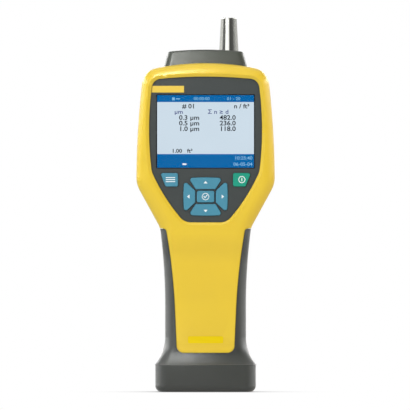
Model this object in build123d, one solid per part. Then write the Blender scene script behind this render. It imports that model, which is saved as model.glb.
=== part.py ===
from build123d import *
from functools import cache
import math
import os

os.makedirs("parts", exist_ok=True)

# Handheld airborne particle counter: a wide head with a colour display and a
# keypad, a waisted handle with rubber sides, and a flared rubber foot.
# Millimetres.  X runs to the user's right, Y from front to back, Z up.
# The origin is the centre of the underside, so the instrument stands on Z = 0.

# ---- overall form ---------------------------------------------------------
head_top_z = 238.2          # crown of the head
head_corner_z = 232.6       # where the sides meet the crown, before rounding
crown_taper = 5.2           # the crown's corners lie this far in from the knee
knee_z = 150.5              # widest point, where the head starts to narrow
neck_z = 119.0              # foot of the diagonal flanks
neck_half = 33.0
waist_z = 62.0              # narrowest part of the handle
waist_half = 29.3
flare_z = 40.0              # the sides start to flare to the foot here
flare_r = 31.5              # hollow curve at the sides of the foot
ledge_z = 33.0              # the front and back start to flare here
ledge_r = 18.5
foot_z = 20.0               # height of the upright block of the foot
foot_half = 36.4
foot_depth = 53.0
foot_edge_r = 4.5
foot_lip_r = 0.9
head_front = -23.5
head_back = 26.5
handle_front = -20.5
handle_back = 20.5
front_lean_low_z = 97.0     # the handle's front leans out to the head
front_lean_high_z = 111.0
back_lean_low_z = 106.0     # the handle's back leans out to the head
back_lean_high_z = 138.0
edge_r = 8.5                # rounding of the long edges
neck_r = 14.0
knee_r = 20.0
head_corner_r = 13.0
lean_r = 35.0

# ---- walls and seams ------------------------------------------------------
wall = 2.3
rubber = 2.0                # thickness of the rubber over the handle and foot
seam = 0.3                  # open line between visible neighbours
lap = 2.0                   # depth of the lap joint between the casing halves
parting_y = 0.0
head_y = (head_front + head_back) / 2
reach = 70.0                # half length of a cutting extrusion

# ---- bare panel between the rubber grips ----------------------------------
panel_bottom_z = 28.5
panel_mid_z = 60.0
grip_low_w = 8.7            # width of the rubber beside the panel's foot
grip_mid_w = 7.3
grip_tip_w = 4.4
grip_tip_z = 118.5
grip_tip_r = 2.4
panel_corner_r = 5.0

# ---- bezel, display and recess --------------------------------------------
bezel_t = 1.6
bezel_sink = 1.2            # the bezel's face lies this far behind the head
lip_slope = 1.8             # the recess opens out this much per unit of depth
lip_over = 1.0
floor_t = 1.4               # casing left behind the bezel
pad_margin = 1.8            # thicker casing round the recess
bezel_gap = 0.15
bezel_bottom_z = 122.9
bezel_bottom_half = 15.2
bezel_crown_z = 228.3
bezel_rim = 5.05            # bezel beside the window, at its widest
casing_rim = 9.4            # casing beside the bezel, at its widest
bezel_face_y = head_front + bezel_sink
bezel_back_y = bezel_face_y + bezel_t
floor_back_y = bezel_back_y + floor_t
window_w = 71.5
window_h = 53.5
window_z = 188.7
window_corner_r = 0.8
window_gap = 0.15
lens_t = 1.2
lens_sink = 0.2
active_w = 70.08            # 3.5 inch quarter-VGA picture
active_h = 52.56
lcd_w = 76.9
lcd_h = 61.2
lcd_t = 2.6
lcd_gap = 0.4               # between the display module and the keys' flanges
strip_left = -41.0
strip_right = -15.6
strip_low_z = 216.9
strip_high_z = 221.7
strip_t = 0.25

# ---- keys -----------------------------------------------------------------
key_proud = 1.1             # keys stand this far out of the bezel
key_gap = 0.25
key_travel = 0.7
key_flange = 0.5            # the flange is this much wider than the cap
key_flange_t = 0.9
key_edge_r = 0.45
flange_gap = 0.05           # play between a key's flange and the bezel
mat_gap = 0.2               # play between a pressed key and the mat
mat_margin = 1.0            # the mat reaches this far past the keys
nav_z = 141.5               # centre of the direction keys
enter_w = 12.6
enter_h = 8.4
nav_web = 1.2               # space between neighbouring direction keys
nav_up_half = 12.3
nav_up_reach = 13.4
nav_up_root_half = 7.1
nav_side_reach = 16.05
nav_side_tip = 13.4
nav_side_half = 9.8
nav_side_root_half = 4.2
nav_swell = 0.45            # crown of the outer sides of the direction keys
nav_opening_w = 34.2        # opening in the casing behind the direction keys
nav_opening_h = 29.0
soft_key_top_z = 158.5
soft_key_low_z = 148.8
menu_inner = 20.0
menu_outer_top = 32.8
menu_outer_low = 28.9

# ---- inlet ----------------------------------------------------------------
inlet_x = 16.9
probe_top_z = 271.3
probe_low_z = 242.6
probe_top_r = 5.7
probe_low_r = 7.25
probe_mouth_r = 4.7
probe_lip_r = 0.5
probe_throat_r = 3.2
probe_throat_z = 257.0
spigot_r = 4.2
spigot_gap = 0.06
spigot_top_z = 255.0
fitting_r = 8.6
fitting_flange_r = 11.0
fitting_flange_t = 2.6
fitting_base_z = 231.0
fitting_bore_r = 2.6
roof_hole_gap = 0.4
probe_hole_gap = 0.25
oring_wire_r = 0.75
cap_low_half = 29.9
cap_low_z = 237.2
cap_shoulder_z = 246.3      # ends of the arched top
cap_crown_z = 248.1
cap_taper = 0.28            # lean of all four sides
cap_depth = 32.0
cap_side_r = 5.0
cap_top_r = 1.8
cap_wall = 2.0

# ---- electronics and air path ---------------------------------------------
board_t = 1.6
board_gap = 0.1
board_low_z = 118.2
board_shoulder_z = 163.0
board_high_z = 228.0
post_r = 2.6
post_hole_r = 0.95
board_screw_r = 0.9
board_screw_head_r = 1.9
board_screw_head_t = 1.2
post_places = ((-30.0, 224.4), (30.0, 224.4), (-12.0, 121.6), (12.0, 121.6))
sensor_w = 38.0
sensor_d = 26.0
sensor_h = 42.0
laser_r = 6.0
laser_l = 7.5
detector_w = 24.0
detector_h = 26.0
detector_t = 1.6
pump_x = -22.0
pump_z = 193.0
pump_w = 27.0
pump_d = 26.0
pump_h = 16.0
pump_y = 5.0
motor_r = 11.5
motor_l = 24.0
filter_r = 9.0
filter_l = 30.0
filter_x = 21.0
filter_z = 157.0
filter_y = 7.0
tube_r = 2.4
tube_bore_r = 1.5
nipple_r = 1.4
nipple_l = 6.0
mount_post_r = 3.2

# ---- casing screws --------------------------------------------------------
screw_inset = 7.2           # from the knee to the screws beside the display
screw_high_inset = 7.9
screw_neck_inset = 12.0
screw_heights = (166.0, 213.0, 113.5)
screw_boss_r = 3.8
screw_r = 1.4
screw_hole_r = 1.45
screw_head_r = 2.6
screw_head_t = 2.0
screw_well_r = 2.8
screw_seat = 4.0            # casing clamped under a screw head
screw_bite = 8.0
screw_slot = 0.8

# ---- battery --------------------------------------------------------------
door_low_z = 31.5
door_high_z = 101.5
door_corner_r = 4.0
door_t = 2.0
door_ledge = 1.6
door_ledge_t = 1.6
door_rib_count = 5
door_rib_pitch = 3.0
door_rib_w = 22.0
door_rib_t = 1.2
door_rib_proud = 0.6
cell_r = 8.5
cell_l = 65.0
tray_wall = 1.2
tray_gap = 0.4
contact_w = 2.4
contact_t = 0.5
contact_l = 6.0
contact_pitch = 8.0
contact_count = 3

# ---- sockets on the back of the foot --------------------------------------
io_board_z = 4.6
io_board_t = 1.6
io_post_x = 25.5
io_post_y = 8.0
io_post_r = 2.4
socket_y = 24.2             # plane of the socket faces
network_x = -19.0
network_size = (16.0, 15.0, 13.2)
usb_x = 1.5
usb_size = (12.0, 15.0, 10.8)
power_x = 19.0
power_size = (9.4, 13.0, 11.0)
power_bore_r = 3.2
power_pin_r = 1.1
socket_margin = 0.4

# ---- vents and small marks ------------------------------------------------
vent_count = 6
vent_pitch = 4.2
vent_w = 18.0
vent_h = 1.8
vent_x = -20.0
vent_z = 208.0
sound_ring_r = 4.2
sound_hole_r = 0.9
sound_x = 25.0
sound_z = 137.0
buzzer_r = 7.0
buzzer_t = 4.5
buzzer_y = 15.0
label_w = 26.0
label_h = 5.4
label_z = 37.8
label_sink = 0.3

# ---- sizes that follow from those above -----------------------------------
window_half = window_w / 2
bezel_half = window_half + bezel_rim
knee_half = bezel_half + casing_rim
head_corner_half = knee_half - crown_taper
bezel_side = ((bezel_half - 12.1, 140.5), (bezel_half - 1.9, 159.5),
              (bezel_half, 191.0), (bezel_half - 2.7, 226.2))
panel_bottom_half = waist_half - grip_low_w
panel_mid_half = waist_half - grip_mid_w
panel_top_half = neck_half - grip_tip_w
lcd_low_z = soft_key_top_z + key_flange + lcd_gap
board_half = lcd_w / 2
board_low_half = neck_half - 10.0
door_w = 2 * (2 * cell_r + tray_gap + door_ledge)
screw_places = [(side * (half - inset), z)
                for half, inset, z in ((knee_half, screw_inset, screw_heights[0]),
                                       (knee_half, screw_high_inset, screw_heights[1]),
                                       (neck_half, screw_neck_inset, screw_heights[2]))
                for side in (-1, 1)]


# ---- shape helpers --------------------------------------------------------
def upright(face, y_from, y_to):
    """Extrude a front-view face (x, z) from one depth to another."""
    return Pos(0, y_to, 0) * extrude(Plane.XZ * face, amount=y_to - y_from)


def soften(face, height, radius):
    """Round the corners of a face that lie at one height."""
    chosen = [v for v in face.vertices() if abs(v.Y - height) < 0.01]
    return fillet(chosen, radius=radius)


def soften_at(face, points, radius):
    """Round the corners of a face at the given points."""
    for x, y in points:
        chosen = [v for v in face.vertices()
                  if abs(v.X - x) < 0.01 and abs(v.Y - y) < 0.01]
        face = fillet(chosen, radius=radius)
    return face


def grown(face, amount):
    """A face offset by some distance, with its curved edges kept as arcs."""
    if not amount:
        return face
    edges = []
    for edge in offset(face, amount=amount).edges():
        if edge.geom_type == GeomType.OFFSET:
            edge = ThreePointArc(edge @ 0, edge @ 0.5, edge @ 1).edge()
        edges.append(edge)
    return make_face(edges)


def both_sides(edges):
    """The given right-hand edges with their mirror images."""
    right = [e.edge() for e in edges]
    return right + [mirror(e, about=Plane.YZ) for e in right]


def block(x, y, z, w, d, h):
    """A box centred on x and y that stands on z."""
    return Pos(x, y, z + h / 2) * Box(w, d, h)


def rod_y(x, z, radius, y_from, y_to):
    """A round bar along Y."""
    return upright(Pos(x, z) * Circle(radius), y_from, y_to)


def rod_z(x, y, radius, z_from, z_to):
    """A round bar along Z."""
    return Pos(x, y, z_from) * extrude(Circle(radius), amount=z_to - z_from)


# ---- outer form -----------------------------------------------------------
def front_outline(inset):
    """The head and handle seen from the front."""
    low = foot_z / 2
    edges = both_sides([
        Line((waist_half, low), (waist_half, waist_z)),
        TangentArc((waist_half, waist_z), (neck_half, neck_z), tangent=(0, 1)),
        Line((neck_half, neck_z), (knee_half, knee_z)),
        TangentArc((knee_half, knee_z), (head_corner_half, head_corner_z),
                   tangent=(0, 1)),
    ])
    crown = ThreePointArc((-head_corner_half, head_corner_z), (0, head_top_z),
                          (head_corner_half, head_corner_z))
    bottom = Line((-waist_half, low), (waist_half, low))
    face = make_face(edges + [crown.edge(), bottom.edge()])
    for height, radius in ((neck_z, neck_r), (knee_z, knee_r),
                           (head_corner_z, head_corner_r)):
        face = soften(face, height, radius)
    return grown(face, -inset)


def side_outline(inset):
    """The head and handle seen from the side."""
    low = foot_z / 2
    high = head_top_z + 5
    bends = ((handle_front, front_lean_low_z), (head_front, front_lean_high_z),
             (head_back, back_lean_high_z), (handle_back, back_lean_low_z))
    face = make_face(Polyline((handle_front, low), *bends[:2],
                              (head_front, high), (head_back, high),
                              *bends[2:], (handle_back, low),
                              close=True).edges())
    face = soften_at(face, bends, lean_r)
    return grown(face, -inset)


def upper_form(inset):
    """Head and handle: two outlines crossed, with the long edges rounded."""
    form = (upright(front_outline(inset), -reach, reach)
            & extrude(Plane.YZ * side_outline(inset), amount=reach, both=True))
    low = foot_z / 2 + inset
    side = handle_back - inset - 0.5
    rims = [e for e in form.edges()
            if abs((e @ 0.5).Y) > side and (e @ 0.5).Z > low + 0.01
            and not (e.geom_type == GeomType.LINE and abs((e % 0.5).X) > 0.99)]
    return fillet(rims, radius=edge_r - inset)


def flared(z, top, top_z, radius):
    """Half size of the flare at one height."""
    drop = max(top_z - z, 0)
    return top + radius - math.sqrt(radius ** 2 - drop ** 2)


def foot_form(inset):
    """The upright block of the foot and the hollow flare above it."""
    corner = edge_r - inset
    base = extrude(Pos(0, 0, inset) * RectangleRounded(
        2 * (foot_half - inset), foot_depth - 2 * inset, corner),
        amount=foot_z - inset)
    rim = [e for e in base.edges() if abs(e.center().Z - inset) < 0.01]
    base = fillet(rim, radius=foot_edge_r - min(inset, foot_edge_r - 1))
    if not inset:
        lip = [e for e in base.edges() if abs(e.center().Z - foot_z) < 0.01]
        base = fillet(lip, radius=foot_lip_r)
    steps = 6
    sections = []
    for i in range(steps + 1):
        z = foot_z - 0.5 + (flare_z + 2.5 - foot_z) * i / steps
        half_x = flared(z, waist_half, flare_z, flare_r) - inset
        half_y = flared(z, handle_back, ledge_z, ledge_r) - inset
        sections.append(Pos(0, 0, z) * RectangleRounded(
            2 * half_x, 2 * half_y, corner))
    return base + loft(sections)


@cache
def envelope(inset):
    """Everything from the foot to the crown, set in by one distance."""
    return upper_form(inset) + foot_form(inset)


def panel_zone(inset):
    """Front view of what is bare casing: the panel and all of the head."""
    high = head_top_z + 10
    edges = both_sides([
        Line((0, panel_bottom_z), (panel_bottom_half, panel_bottom_z)),
        Line((panel_bottom_half, panel_bottom_z), (panel_mid_half, panel_mid_z)),
        TangentArc((panel_mid_half, panel_mid_z), (panel_top_half, grip_tip_z),
                   tangent=(panel_mid_half - panel_bottom_half,
                            panel_mid_z - panel_bottom_z)),
        Line((panel_top_half, grip_tip_z), (reach, grip_tip_z)),
        Line((reach, grip_tip_z), (reach, high)),
        Line((reach, high), (0, high)),
    ])
    face = make_face(edges)
    face = soften_at(face, [(s * panel_bottom_half, panel_bottom_z)
                            for s in (-1, 1)], panel_corner_r)
    face = soften_at(face, [(s * panel_top_half, grip_tip_z)
                            for s in (-1, 1)], grip_tip_r)
    return grown(face, -inset)


def casing_form(skin):
    """The casing's outer form, or the form set in by a wall."""
    raised = envelope(skin) & upright(panel_zone(skin), -reach, reach)
    return envelope(rubber + skin) + raised


def bezel_outline(grow):
    """Outline of the bezel: arched top, bowed sides, shield-shaped foot."""
    diagonal, corner, bow, shoulder = bezel_side
    foot = (bezel_bottom_half, bezel_bottom_z)
    edges = both_sides([
        Line((0, bezel_bottom_z), foot),
        ThreePointArc(foot, diagonal, corner),
        ThreePointArc(corner, bow, shoulder),
    ])
    crown = ThreePointArc((-shoulder[0], shoulder[1]), (0, bezel_crown_z), shoulder)
    face = make_face(edges + [crown.edge()])
    for height, radius in ((bezel_bottom_z, 10.0), (corner[1], 14.0),
                           (shoulder[1], 7.0)):
        face = soften(face, height, radius)
    return grown(face, grow)


def door_outline(inset):
    """Outline of the battery door."""
    middle = (door_low_z + door_high_z) / 2
    return Pos(0, middle) * RectangleRounded(
        door_w - 2 * inset, door_high_z - door_low_z - 2 * inset,
        door_corner_r - min(inset, door_corner_r - 1))


def window_outline(grow):
    """Outline of the display window."""
    return Pos(0, window_z) * RectangleRounded(
        window_w + 2 * grow, window_h + 2 * grow, window_corner_r)


# ---- keys -----------------------------------------------------------------
def swollen(start, end, swell):
    """A shallow outward arc between two points, bowed to the left of travel."""
    mid_x = (start[0] + end[0]) / 2
    mid_y = (start[1] + end[1]) / 2
    length = math.dist(start, end)
    away = ((start[1] - end[1]) / length, (end[0] - start[0]) / length)
    peak = (mid_x + away[0] * swell, mid_y + away[1] * swell)
    return ThreePointArc(start, peak, end).edge()


def up_key_outline():
    """The upper direction key, about the keypad's centre."""
    root = enter_h / 2 + nav_web
    top_left = (-nav_up_half, nav_up_reach)
    top_right = (nav_up_half, nav_up_reach)
    low_right = (nav_up_root_half, root)
    low_left = (-nav_up_root_half, root)
    face = make_face([swollen(top_left, top_right, nav_swell),
                      Line(top_right, low_right).edge(),
                      Line(low_right, low_left).edge(),
                      Line(low_left, top_left).edge()])
    face = soften(face, nav_up_reach, 1.7)
    return soften(face, root, 0.6)


def right_key_outline():
    """The right direction key, about the keypad's centre."""
    root = enter_w / 2 + nav_web
    high = (nav_side_reach - nav_swell, nav_side_half)
    tip = (nav_side_tip, nav_side_half)
    inner = (root, nav_side_root_half)
    edges = [swollen(high, (high[0], -high[1]), nav_swell),
             Line((high[0], -high[1]), (tip[0], -tip[1])).edge(),
             Line((tip[0], -tip[1]), (inner[0], -inner[1])).edge(),
             Line((inner[0], -inner[1]), inner).edge(),
             Line(inner, tip).edge(),
             Line(tip, high).edge()]
    face = make_face(edges)
    face = soften_at(face, [high, (high[0], -high[1])], 1.3)
    face = soften_at(face, [tip, (tip[0], -tip[1])], 0.9)
    return soften_at(face, [inner, (inner[0], -inner[1])], 0.6)


def soft_key_outline():
    """The key at the right of the direction keys; its twin is mirrored."""
    face = make_face(Polyline((menu_inner, soft_key_top_z),
                              (menu_outer_top, soft_key_top_z),
                              (menu_outer_low, soft_key_low_z),
                              (menu_inner, soft_key_low_z), close=True).edges())
    return fillet(face.vertices(), radius=1.3)


up_key = Pos(0, nav_z) * up_key_outline()
down_key = Pos(0, nav_z) * mirror(up_key_outline(), about=Plane.XZ)
right_key = Pos(0, nav_z) * right_key_outline()
left_key = mirror(right_key, about=Plane.YZ)
enter_key = Pos(0, nav_z) * RectangleRounded(enter_w, enter_h, 1.5)
power_key = soft_key_outline()
menu_key = mirror(power_key, about=Plane.YZ)
key_faces = {"key_up": up_key, "key_down": down_key, "key_left": left_key,
             "key_right": right_key, "key_enter": enter_key,
             "key_menu": menu_key, "key_power": power_key}


def make_key(face):
    """A moulded key: domed cap, flange behind the bezel and a short stem."""
    front = bezel_face_y - key_proud
    cap = upright(face, front, bezel_back_y)
    rim = [e for e in cap.edges() if abs(e.center().Y - front) < 0.01]
    cap = fillet(rim, radius=key_edge_r)
    flange = upright(grown(face, key_flange), bezel_back_y + flange_gap,
                     bezel_back_y + flange_gap + key_flange_t)
    neck = upright(face, bezel_back_y - key_flange_t / 2, bezel_back_y + key_flange_t)
    return cap + neck + flange


keys = {name: make_key(face) for name, face in key_faces.items()}

# ---- casing ---------------------------------------------------------------
casing_outer = casing_form(0)
casing_mid = casing_form(wall / 2)
casing_inner = casing_form(wall)
bezel_pad = upright(bezel_outline(pad_margin), head_front, floor_back_y)
door_pad = upright(door_outline(-pad_margin), handle_back - door_t - door_ledge_t,
                   handle_back)
casing = casing_outer - (casing_inner - bezel_pad - door_pad)
front_half = upright(Rectangle(3 * reach, 8 * reach), -reach, parting_y)
back_half = upright(Rectangle(3 * reach, 8 * reach), parting_y + seam, reach)
lap_slab = upright(Rectangle(3 * reach, 8 * reach), parting_y - 0.5, parting_y + lap)
lap_relief = upright(Rectangle(3 * reach, 8 * reach), parting_y, parting_y + lap + 0.2)

# front half: recess for the bezel with a flared lip, openings, posts, bosses
board_front_y = floor_back_y + lcd_t + board_gap
board_back_y = board_front_y + board_t
front_adds = [(casing_mid - casing_inner) & lap_slab]
front_cuts = [
    upright(bezel_outline(bezel_gap), -reach, bezel_back_y),
    loft([Pos(0, bezel_face_y, 0) * Plane.XZ * bezel_outline(bezel_gap),
          Pos(0, head_front - lip_over, 0) * Plane.XZ
          * bezel_outline(bezel_gap + lip_slope * (bezel_sink + lip_over))],
         ruled=True),
    upright(window_outline(window_gap), head_front, floor_back_y + 1),
    upright(Pos(0, nav_z) * RectangleRounded(nav_opening_w, nav_opening_h, 5),
            head_front, floor_back_y + 1),
    upright(Pos(0, label_z) * RectangleRounded(label_w, label_h, 1.2),
            -reach, handle_front + label_sink)]
for name in ("key_menu", "key_power"):
    front_cuts.append(upright(grown(key_faces[name], key_flange + key_gap),
                              head_front, floor_back_y + 1))
for x, z in post_places:
    front_adds.append(rod_y(x, z, post_r, bezel_back_y + 0.4, board_front_y))
    front_cuts.append(rod_y(x, z, post_hole_r, board_front_y - 4, board_front_y + 1))
for x, z in screw_places:
    front_adds.append(rod_y(x, z, screw_boss_r, head_front + wall / 2, parting_y)
                      & casing_outer)
    front_cuts.append(rod_y(x, z, screw_r + 0.05, parting_y - screw_bite - 0.5,
                            parting_y + 1))

# back half: bosses with screw wells, battery opening, vents and posts
sensor_back_y = head_y + sensor_d / 2
pump_back_y = pump_y + pump_d / 2
sensor_low_z = fitting_base_z - sensor_h
rear_adds = []
rear_cuts = [
    casing_mid & lap_relief,
    upright(door_outline(-seam), handle_back - door_t, reach),
    upright(door_outline(door_ledge), parting_y + lap + 1, reach)]
for x, z in screw_places:
    rear_adds.append(rod_y(x, z, screw_boss_r, parting_y + 0.05, head_back)
                     & casing_outer)
    rear_cuts.append(rod_y(x, z, screw_well_r, parting_y + screw_seat, reach))
    rear_cuts.append(rod_y(x, z, screw_hole_r, parting_y - 1, parting_y + screw_seat + 1))
for i in range(vent_count):
    slot = Pos(vent_x, vent_z + (i - (vent_count - 1) / 2) * vent_pitch)
    rear_cuts.append(upright(slot * SlotOverall(vent_w, vent_h),
                             head_back - wall - 1, reach))
rear_cuts.append(rod_y(sound_x, sound_z, sound_hole_r, buzzer_y + 1, reach))
for i in range(6):
    turn = math.radians(60 * i)
    rear_cuts.append(rod_y(sound_x + sound_ring_r * math.cos(turn),
                           sound_z + sound_ring_r * math.sin(turn),
                           sound_hole_r, buzzer_y + 1, reach))
for x, z, start in ((inlet_x - 12, sensor_low_z + 8, sensor_back_y),
                    (inlet_x + 12, fitting_base_z - 8, sensor_back_y),
                    (pump_x - 8, pump_z, pump_back_y),
                    (pump_x + 8, pump_z, pump_back_y),
                    (filter_x - 9, filter_z, filter_y + filter_r),
                    (filter_x + 9, filter_z, filter_y + filter_r)):
    rear_adds.append(rod_y(x, z, mount_post_r, start, head_back - wall + 0.5))
for x in (-io_post_x, io_post_x):
    rear_adds.append(rod_z(x, io_post_y, io_post_r, rubber + wall - 0.5, io_board_z))
collar = (rod_y(sound_x, sound_z, buzzer_r + 1.4, buzzer_y - 3, head_back)
          - rod_y(sound_x, sound_z, buzzer_r + 0.1, -reach, buzzer_y)
          - rod_y(sound_x, sound_z, buzzer_r - 1.0, -reach, head_back - wall))
rear_adds.append(collar & casing_outer)

# roof opening for the inlet fitting, shared by both halves
roof_hole = rod_z(inlet_x, head_y, fitting_r + roof_hole_gap,
                  fitting_base_z + fitting_flange_t, head_top_z + 5)
front_cuts.append(roof_hole)
rear_cuts.append(roof_hole)

# socket openings through the casing and the rubber
sockets = {"network_socket": (network_x, network_size),
           "usb_socket": (usb_x, usb_size),
           "power_socket": (power_x, power_size)}
socket_low_z = io_board_z + io_board_t


def socket_opening(x, size, margin):
    """The opening that one socket needs through a wall at the back."""
    width, _, height = size
    return upright(Pos(x, socket_low_z + height / 2)
                   * RectangleRounded(width + 2 * margin, height + 2 * margin, 1),
                   parting_y + 6, reach)


rear_cuts += [socket_opening(x, size, socket_margin) for x, size in sockets.values()]
front_shell = (casing & front_half) + front_adds - front_cuts
rear_shell = (casing & back_half) + rear_adds - rear_cuts

# ---- rubber grips and foot ------------------------------------------------
grip_boot = envelope(0) - [upright(panel_zone(-seam), -reach, reach), envelope(rubber),
                           *[socket_opening(x, size, socket_margin + 0.8)
                             for x, size in sockets.values()]]

# ---- cap over the inlet ---------------------------------------------------
def cap_form(inset):
    """The cap: a rounded block that narrows upward under an arched top."""
    sections = []
    for z in (cap_low_z - 5, cap_crown_z + 2):
        rise = z - cap_low_z
        sections.append(Pos(0, head_y, z) * RectangleRounded(
            2 * (cap_low_half - cap_taper * rise - inset),
            cap_depth - 2 * (cap_taper * rise + inset), cap_side_r - inset))
    high = cap_crown_z - inset
    shoulder = cap_shoulder_z - inset
    arch = make_face([
        Line((-reach, shoulder), (-cap_low_half, shoulder)).edge(),
        ThreePointArc((-cap_low_half, shoulder), (0, high), (cap_low_half, shoulder)).edge(),
        Line((cap_low_half, shoulder), (reach, shoulder)).edge(),
        Line((reach, shoulder), (reach, 0)).edge(),
        Line((reach, 0), (-reach, 0)).edge(),
        Line((-reach, 0), (-reach, shoulder)).edge()])
    form = loft(sections, ruled=True) & upright(arch, -reach, reach)
    if inset:
        return form
    top = [e for e in form.edges() if e.center().Z > shoulder - 2
           and abs((e % 0.5).Z) < 0.5]
    return fillet(top, radius=cap_top_r)


top_cap = cap_form(0) - cap_form(cap_wall) - envelope(0)
top_cap -= rod_z(inlet_x, head_y, probe_low_r + probe_hole_gap,
                 cap_low_z, cap_crown_z + 5)
top_cap = top_cap.solids().sort_by(SortBy.VOLUME)[-1]

# ---- bezel, window and display --------------------------------------------
bezel = upright(bezel_outline(0), bezel_face_y, bezel_back_y)
bezel -= upright(window_outline(window_gap), -reach, reach)
for face in key_faces.values():
    bezel -= upright(grown(face, key_gap), -reach, reach)
strip_face = Pos((strip_left + strip_right) / 2, (strip_low_z + strip_high_z) / 2) \
    * Rectangle(strip_right - strip_left, strip_high_z - strip_low_z)
strip_face = strip_face & bezel_outline(-0.2)
name_strip = upright(strip_face, bezel_face_y - strip_t, bezel_face_y)

lens_front_y = bezel_face_y + lens_sink
lens_back_y = lens_front_y + lens_t
screen_window = upright(window_outline(0), lens_front_y, lens_back_y)
active = Pos(0, window_z) * Rectangle(active_w, active_h)
window_gasket = upright(window_outline(-window_gap), lens_back_y, floor_back_y)
window_gasket -= upright(active, -reach, reach)
lcd_module = upright(Pos(0, lcd_low_z + lcd_h / 2) * RectangleRounded(lcd_w, lcd_h, 1.0),
                     floor_back_y, floor_back_y + lcd_t)

mat_front_y = bezel_back_y + flange_gap + key_flange_t + key_travel + mat_gap
mat_half = menu_outer_top + mat_margin
mat_high_z = lcd_low_z - mat_gap
mat_side_z = soft_key_low_z - mat_margin
mat_low_z = nav_z - nav_up_reach - mat_margin
mat_low_half = nav_side_reach + mat_margin
mat_face = make_face(Polyline(
    (-mat_half, mat_high_z), (mat_half, mat_high_z), (mat_half, mat_side_z),
    (mat_low_half, mat_low_z), (-mat_low_half, mat_low_z), (-mat_half, mat_side_z),
    close=True).edges())
mat_face = fillet(mat_face.vertices(), radius=2)
keypad_mat = upright(mat_face, mat_front_y, board_front_y)

# ---- main board -----------------------------------------------------------
board_face = make_face(Polyline(
    (-board_half, board_high_z), (board_half, board_high_z),
    (board_half, board_shoulder_z), (board_low_half, board_low_z),
    (-board_low_half, board_low_z), (-board_half, board_shoulder_z),
    close=True).edges())
board_face = fillet(board_face.vertices(), radius=2.5)
main_board = upright(board_face, board_front_y, board_back_y)
for x, z in post_places:
    main_board -= rod_y(x, z, board_screw_r + 0.15, -reach, reach)
for x, z, w, h, t in ((-18.0, 200.0, 14.0, 14.0, 1.4), (6.0, 210.0, 10.0, 6.0, 1.2),
                      (20.0, 150.0, 9.0, 9.0, 1.2), (-12.0, 150.0, 22.0, 4.0, 3.0),
                      (0.0, 128.0, 12.0, 3.5, 3.0)):
    main_board += upright(Pos(x, z) * Rectangle(w, h), board_back_y - 0.2,
                          board_back_y + t)


def cheese_screw(x, z, seat_y, shaft_r, shaft_l, head_r, head_t):
    """A screw driven forward from the back, with a slot across its head."""
    screw = rod_y(x, z, shaft_r, seat_y - shaft_l, seat_y + 0.1)
    head = rod_y(x, z, head_r, seat_y, seat_y + head_t)
    head = chamfer(head.edges().filter_by(GeomType.CIRCLE).sort_by(Axis.Y)[-1], length=0.3)
    slot = Pos(x, seat_y + head_t, z) * Box(2 * head_r + 1, screw_slot, screw_slot)
    return screw + head - slot


board_screws = Compound([cheese_screw(x, z, board_back_y, board_screw_r,
                                      board_t + 3.0, board_screw_head_r,
                                      board_screw_head_t)
                         for x, z in post_places])
case_screws = Compound([cheese_screw(x, z, parting_y + screw_seat, screw_r,
                                     screw_seat + screw_bite, screw_head_r,
                                     screw_head_t)
                        for x, z in screw_places])

# ---- inlet ----------------------------------------------------------------
probe_section = make_face(Polyline(
    (spigot_r + spigot_gap, probe_low_z), (probe_low_r, probe_low_z),
    (probe_top_r, probe_top_z), (probe_mouth_r, probe_top_z),
    (probe_throat_r, probe_throat_z + 1.5), (probe_throat_r, probe_throat_z - 1.5),
    (spigot_r + spigot_gap, probe_throat_z - 1.5), close=True).edges())
probe_section = soften_at(probe_section, [(probe_top_r, probe_top_z),
                                          (probe_low_r, probe_low_z)], probe_lip_r)
inlet_axis = Pos(inlet_x, head_y, 0)
inlet_probe = inlet_axis * revolve(Plane.XZ * probe_section, axis=Axis.Z)

groove_z = probe_low_z + 5.0
fitting_section = make_face(Polyline(
    (fitting_bore_r, fitting_base_z), (fitting_flange_r, fitting_base_z),
    (fitting_flange_r, fitting_base_z + fitting_flange_t),
    (fitting_r, fitting_base_z + fitting_flange_t),
    (fitting_r, probe_low_z), (spigot_r, probe_low_z),
    (spigot_r, groove_z - oring_wire_r), (spigot_r - oring_wire_r, groove_z - oring_wire_r),
    (spigot_r - oring_wire_r, groove_z + oring_wire_r), (spigot_r, groove_z + oring_wire_r),
    (spigot_r, spigot_top_z), (fitting_bore_r, spigot_top_z), close=True).edges())
inlet_fitting = inlet_axis * revolve(Plane.XZ * fitting_section, axis=Axis.Z)
oring_w = 2 * oring_wire_r - 0.1
oring_d = oring_wire_r + 0.02
oring_section = Pos(spigot_r - oring_wire_r + oring_d / 2, groove_z) \
    * RectangleRounded(oring_d, oring_w, 0.3)
inlet_oring = inlet_axis * revolve(Plane.XZ * oring_section, axis=Axis.Z)

# ---- sensor ---------------------------------------------------------------
sensor_block = block(inlet_x, head_y, sensor_low_z, sensor_w, sensor_d, sensor_h)
sensor_block = chamfer(sensor_block.edges().filter_by(Axis.Z), length=3)
sensor_block -= rod_z(inlet_x, head_y, fitting_bore_r, fitting_base_z - 12, fitting_base_z + 1)
laser_z = sensor_low_z + sensor_h / 2
laser_side_x = inlet_x - sensor_w / 2
laser_bar = Plane(origin=(laser_side_x, head_y, laser_z), x_dir=(0, 1, 0), z_dir=(-1, 0, 0))
laser_module = extrude(laser_bar * Circle(laser_r), amount=laser_l)
laser_module += extrude(laser_bar * RectangleRounded(16, 16, 2), amount=2.5)
sensor_front_y = head_y - sensor_d / 2
detector_board = upright(Pos(inlet_x, laser_z) * RectangleRounded(detector_w, detector_h, 1.5),
                         sensor_front_y - detector_t, sensor_front_y)
nipple_z = sensor_low_z - nipple_l
sensor_block += rod_z(inlet_x - 8, head_y, nipple_r, nipple_z, sensor_low_z)

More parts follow.
